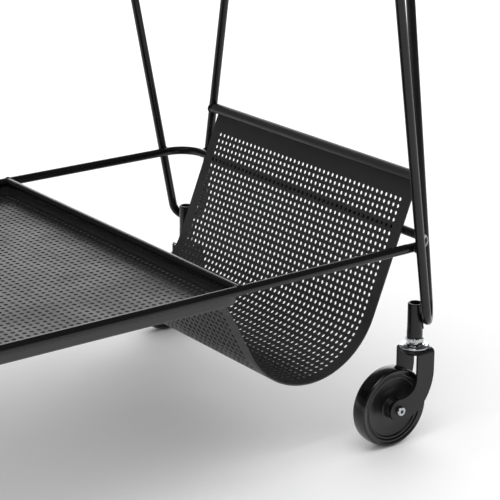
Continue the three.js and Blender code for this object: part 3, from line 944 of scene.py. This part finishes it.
class BARCART_OT_legs(CartOperator):
    """Builds the four hairpin legs"""

    bl_idname = "barcart.legs"
    bl_label = "Hairpin Legs"

    def execute(self, context):
        coat = powder_coated_tube(context.scene.cart_finish)
        for corner in CORNERS:
            shape = leg_shape(corner)
            make_piece(f"hairpin_{corner}", [shape], coat, "frame", [f"leg_{corner}"])
        return {"FINISHED"}


class BARCART_OT_trays(CartOperator):
    """Builds the lower tray and the two halves of the upper tray"""

    bl_idname = "barcart.trays"
    bl_label = "Perforated Trays"

    def execute(self, context):
        settings = context.scene.cart_sheet
        coat = powder_coated_sheet(context.scene.cart_finish)
        pitch, thickness = settings.pitch / MM, settings.thickness / MM
        welded = TUBE_RADIUS - 0.5           # a wall ends half a millimetre inside the tube over it
        hole_clearance = TRAY_BEND + 1       # from a long side to the edge of the last hole's square
        cross_corner = 10.0                  # corners of the lower tray at the cross tube

        floor = LOWER_AXIS[2] - TRAY_FLOOR_DROP - thickness / 2
        left = MIDDLE_X - HALF_LENGTH
        last_hole = CROSS_X - 1.07 * pitch
        columns = int((last_hole - left - pitch / 2 - TRAY_BEND) // pitch) + 1
        rows = 2 * int((HALF_DEPTH - hole_clearance) // pitch) + 1
        lower = tray_shape(
            [(left, -HALF_DEPTH), (CROSS_X, HALF_DEPTH)], (LOWER_CORNER, cross_corner), floor,
            LOWER_AXIS[2] - welded, last_hole - (columns - 1) * pitch, columns, rows, settings,
        )
        make_piece("lower_tray_pan", [lower], coat, "frame", ["lower_tray"])

        floor = UPPER_AXIS[2] - TRAY_FLOOR_DROP - thickness / 2
        columns = int((UPPER_HALF_LENGTH - TRAY_BEND - pitch / 2) // pitch)
        rows = 2 * int((UPPER_HALF_DEPTH - hole_clearance) // pitch) + 1
        for side, name in ((-1, "left"), (1, "right")):
            ends = sorted([MIDDLE_X, MIDDLE_X + side * UPPER_HALF_LENGTH])
            first = MIDDLE_X + pitch / 2 if side > 0 else MIDDLE_X - (columns - 0.5) * pitch
            corners = (0.0, UPPER_CORNER) if side > 0 else (UPPER_CORNER, 0.0)
            half = tray_shape(
                [(ends[0], -UPPER_HALF_DEPTH), (ends[1], UPPER_HALF_DEPTH)], corners, floor,
                UPPER_AXIS[2] - welded, first, columns, rows, settings, walls=(side < 0, side > 0),
            )
            make_piece(f"upper_tray_pan_{name}", [half], coat, "frame", ["upper_tray"])
        return {"FINISHED"}


class BARCART_OT_rack(CartOperator):
    """Builds the folded sheet of the rack"""

    bl_idname = "barcart.rack"
    bl_label = "Rack Sheet"

    def execute(self, context):
        coat = powder_coated_sheet(context.scene.cart_finish)
        shape = rack_shape(context.scene.cart_sheet)
        make_piece("rack_folded_sheet", [shape], coat, "frame", ["rack_sheet"])
        return {"FINISHED"}


class BARCART_OT_welds(CartOperator):
    """Builds the weld beads where tubes meet"""

    bl_idname = "barcart.welds"
    bl_label = "Weld Beads"

    def execute(self, context):
        coat = powder_coated_tube(context.scene.cart_finish)
        ends = []
        for side in (-1, 1):
            ends.append(coped_bead(CROSS_X, LOWER_AXIS[2], meets_ring, side))
            ends.append(coped_bead(RAIL_X, RAIL_HEIGHT, meets_leg, side))
        make_piece("tube_end_welds", ends, coat, "frame")
        upper = UPPER_AXIS[2] - LOWER_AXIS[2]
        contact = 4.0, 3.4                                  # half lengths of a weld between two tubes
        socket_contact = 9.5, 2.6
        for corner in CORNERS:
            beads = []
            for up in (0, upper):
                for axis_point, inward in ((long_side, (0, 1, 0)), (short_side, (1, 0, 0))):
                    here = np.array(axis_point(up))
                    along = here - np.array(axis_point(up - 1))
                    touch = here - (TUBE_RADIUS + WELD_GAP / 2) * np.array(inward)
                    touch, tip = mirrored([touch, touch + along], corner)
                    normal = mirrored([here + inward], corner)[0] - mirrored([here], corner)[0]
                    beads.append(contact_bead(touch, normal, *contact, tip - touch))
            swivel = swivel_place(corner)
            signs = np.array([*corner_signs(corner), 0]) * math.sqrt(0.5)
            foot = swivel + signs * (SOCKET_RADIUS + WELD_GAP / 2) + UP * SOCKET_WELD_HEIGHT
            beads.append(contact_bead(foot, signs, *socket_contact, UP, radius=0.9))
            make_piece(f"leg_welds_{corner}", beads, coat, "frame")
        return {"FINISHED"}


class BARCART_OT_castor_mounts(CartOperator):
    """Builds the sockets, lock nuts and swivel cups, and plates the stems"""

    bl_idname = "barcart.castor_mounts"
    bl_label = "Castor Mounts"

    def execute(self, context):
        finish = context.scene.cart_finish
        coat, chrome, zinc = powder_coated_tube(finish), chrome_plate(finish), zinc_plate(finish)
        for corner in CORNERS:
            place = swivel_place(corner)
            pieces = (
                ("socket", socket_shape(), coat, "powder_coat"),
                ("lock_nut", lock_nut_shape(), chrome, "chrome_plate"),
                ("bearing_cup", cup_shape(), chrome, "chrome_plate"),
            )
            for name, shape, material, slot in pieces:
                node = f"{name}_{corner}"
                make_piece(f"turned_{node}", [shape], material, "frame", [node], place)
            dress(f"stem_{corner}", zinc)
        return {"FINISHED"}


class BARCART_OT_castor_forks(CartOperator):
    """Builds the forks with their lower races, axle bolts and nuts"""

    bl_idname = "barcart.castor_forks"
    bl_label = "Castor Forks"

    def execute(self, context):
        finish = context.scene.cart_finish
        paint, chrome, zinc = stove_enamelled_steel(finish), chrome_plate(finish), zinc_plate(finish)
        for corner in CORNERS:
            body = JOINTS[f"swivel_{corner}"]["child"]
            swivel, axle = swivel_place(corner), axle_place(corner)
            fork = make_piece(f"pressed_fork_{corner}", [fork_shape(corner)], paint, body,
                              [f"fork_{corner}"], swivel)
            eased = fork.modifiers.new("eased_edges", "BEVEL")
            eased.width = 0.45 * MM
            eased.segments = 2
            eased.limit_method = "ANGLE"
            eased.angle_limit = math.radians(50)
            eased.harden_normals = True
            make_piece(f"lower_race_{corner}", [race_shape()], paint, body, place=swivel)
            make_piece(f"button_bolt_{corner}", [bolt_shape()], chrome, body,
                       [f"axle_bolt_{corner}"], axle)
            make_piece(f"hexagon_nut_{corner}", [axle_nut_shape()], zinc, body,
                       [f"axle_nut_{corner}"], axle)
            dress(f"axle_sleeve_{corner}", zinc)
        return {"FINISHED"}


class BARCART_OT_wheels(CartOperator):
    """Builds the wheels and their tyres"""

    bl_idname = "barcart.wheels"
    bl_label = "Wheels"

    def execute(self, context):
        finish = context.scene.cart_finish
        plastic, rubber = moulded_polypropylene(finish), moulded_rubber(finish)
        for corner in CORNERS:
            body = JOINTS[f"roll_{corner}"]["child"]
            place = axle_place(corner)
            make_piece(f"dished_wheel_{corner}", [hub_shape()], plastic, body,
                       [f"wheel_hub_{corner}"], place)
            make_piece(f"round_tyre_{corner}", [tyre_shape()], rubber, body,
                       [f"tyre_{corner}"], place)
        return {"FINISHED"}


def area_light(name, power, size, place, target):
    """A rectangular soft light that the camera doesn't see."""
    lamp = bpy.data.lights.new(name, "AREA")
    lamp.energy = power
    lamp.shape = "RECTANGLE"
    lamp.size, lamp.size_y = size
    light = bpy.data.objects.new(name, lamp)
    light.location = place
    light.rotation_euler = (Vector(target) - Vector(place)).to_track_quat("-Z", "Y").to_euler()
    light.visible_camera = False
    bpy.context.scene.collection.objects.link(light)


CAMERA_PLACE = (-0.6902, -1.3161, 0.6909)          # in metres
CAMERA_AZIMUTH = math.radians(36.259)               # turned from +Y towards +X
CAMERA_PITCH = math.radians(18.637)                 # looking down


class BARCART_OT_stage(CartOperator):
    """Builds the floor, the soft light and the camera"""

    bl_idname = "barcart.stage"
    bl_label = "Stage"

    def execute(self, context):
        settings = context.scene.cart_stage
        reach = 12.0
        mesh = bpy.data.meshes.new("pale_floor")
        mesh.from_pydata([(-reach, -reach, 0), (reach, -reach, 0), (reach, reach, 0), (-reach, reach, 0)], [],
                         [(0, 1, 2, 3)])
        floor = bpy.data.objects.new("pale_floor", mesh)
        context.scene.collection.objects.link(floor)
        mesh.materials.append(matt_painted_floor(settings))

        world = bpy.data.worlds.new("soft_room")
        world.use_nodes = True
        tree = world.node_tree
        rays = add_node(tree, "ShaderNodeLightPath").outputs
        glossy = add_node(tree, "ShaderNodeMapRange", inputs={
            "Value": rays["Is Glossy Ray"], "To Min": settings.room, "To Max": settings.gloss_room,
        }).outputs["Result"]
        strength = add_node(tree, "ShaderNodeMapRange", inputs={
            "Value": rays["Is Camera Ray"], "To Min": glossy, "To Max": 1.0,
        })
        background = tree.nodes["Background"]
        background.inputs["Color"].default_value = (1, 1, 1, 1)
        tree.links.new(strength.outputs["Result"], background.inputs["Strength"])
        context.scene.world = world
        context.scene.view_settings.view_transform = "Standard"

        area_light("top_softbox", settings.top, (1.7, 1.7), place=(-0.6, -0.5, 2.6), target=(0.0, 0.0, 0.3))
        area_light("back_softbox", settings.back, (3.2, 1.8), place=(2.2, 2.6, 1.0), target=(0.1, 0.0, 0.2))

        camera = bpy.data.objects.new("camera", bpy.data.cameras.new("camera"))
        camera.data.sensor_width = 36.0
        camera.data.lens = settings.lens
        forward = Vector((
            math.sin(CAMERA_AZIMUTH) * math.cos(CAMERA_PITCH),
            math.cos(CAMERA_AZIMUTH) * math.cos(CAMERA_PITCH),
            -math.sin(CAMERA_PITCH),
        ))
        aim = forward.to_track_quat("-Z", "Y").to_matrix().to_4x4()
        camera.matrix_world = Matrix.Translation(CAMERA_PLACE) @ aim
        camera.data.clip_end = 60.0
        context.scene.collection.objects.link(camera)
        context.scene.camera = camera
        return {"FINISHED"}


PIECES = (
    BARCART_OT_tubes,
    BARCART_OT_legs,
    BARCART_OT_trays,
    BARCART_OT_rack,
    BARCART_OT_welds,
    BARCART_OT_castor_mounts,
    BARCART_OT_castor_forks,
    BARCART_OT_wheels,
    BARCART_OT_stage,
)


class BARCART_PT_sidebar(bpy.types.Panel):
    """Lists the cart's settings and its operators"""

    bl_idname = "BARCART_PT_sidebar"
    bl_label = "Bar Cart"
    bl_space_type = "VIEW_3D"
    bl_region_type = "UI"
    bl_category = "Bar Cart"

    def draw(self, context):
        scene = context.scene
        for group in (scene.cart_sheet, scene.cart_finish, scene.cart_stage):
            box = self.layout.box()
            for name in group.__annotations__:
                box.prop(group, name)
        for operator in PIECES:
            self.layout.operator(operator.bl_idname)


SETTINGS = {
    "cart_sheet": CartSheetSettings,
    "cart_finish": CartFinishSettings,
    "cart_stage": CartStageSettings,
}
CLASSES = (*SETTINGS.values(), *PIECES, BARCART_PT_sidebar)


def register():
    for cls in CLASSES:
        bpy.utils.register_class(cls)
    for name, cls in SETTINGS.items():
        setattr(bpy.types.Scene, name, PointerProperty(type=cls))


def unregister():
    for name in SETTINGS:
        delattr(bpy.types.Scene, name)
    for cls in reversed(CLASSES):
        bpy.utils.unregister_class(cls)


def main():
    """Builds the cart in order."""
    register()
    for operator in PIECES:
        group, action = operator.bl_idname.split(".")
        getattr(getattr(bpy.ops, group), action)()


if __name__ == "__main__":
    main()
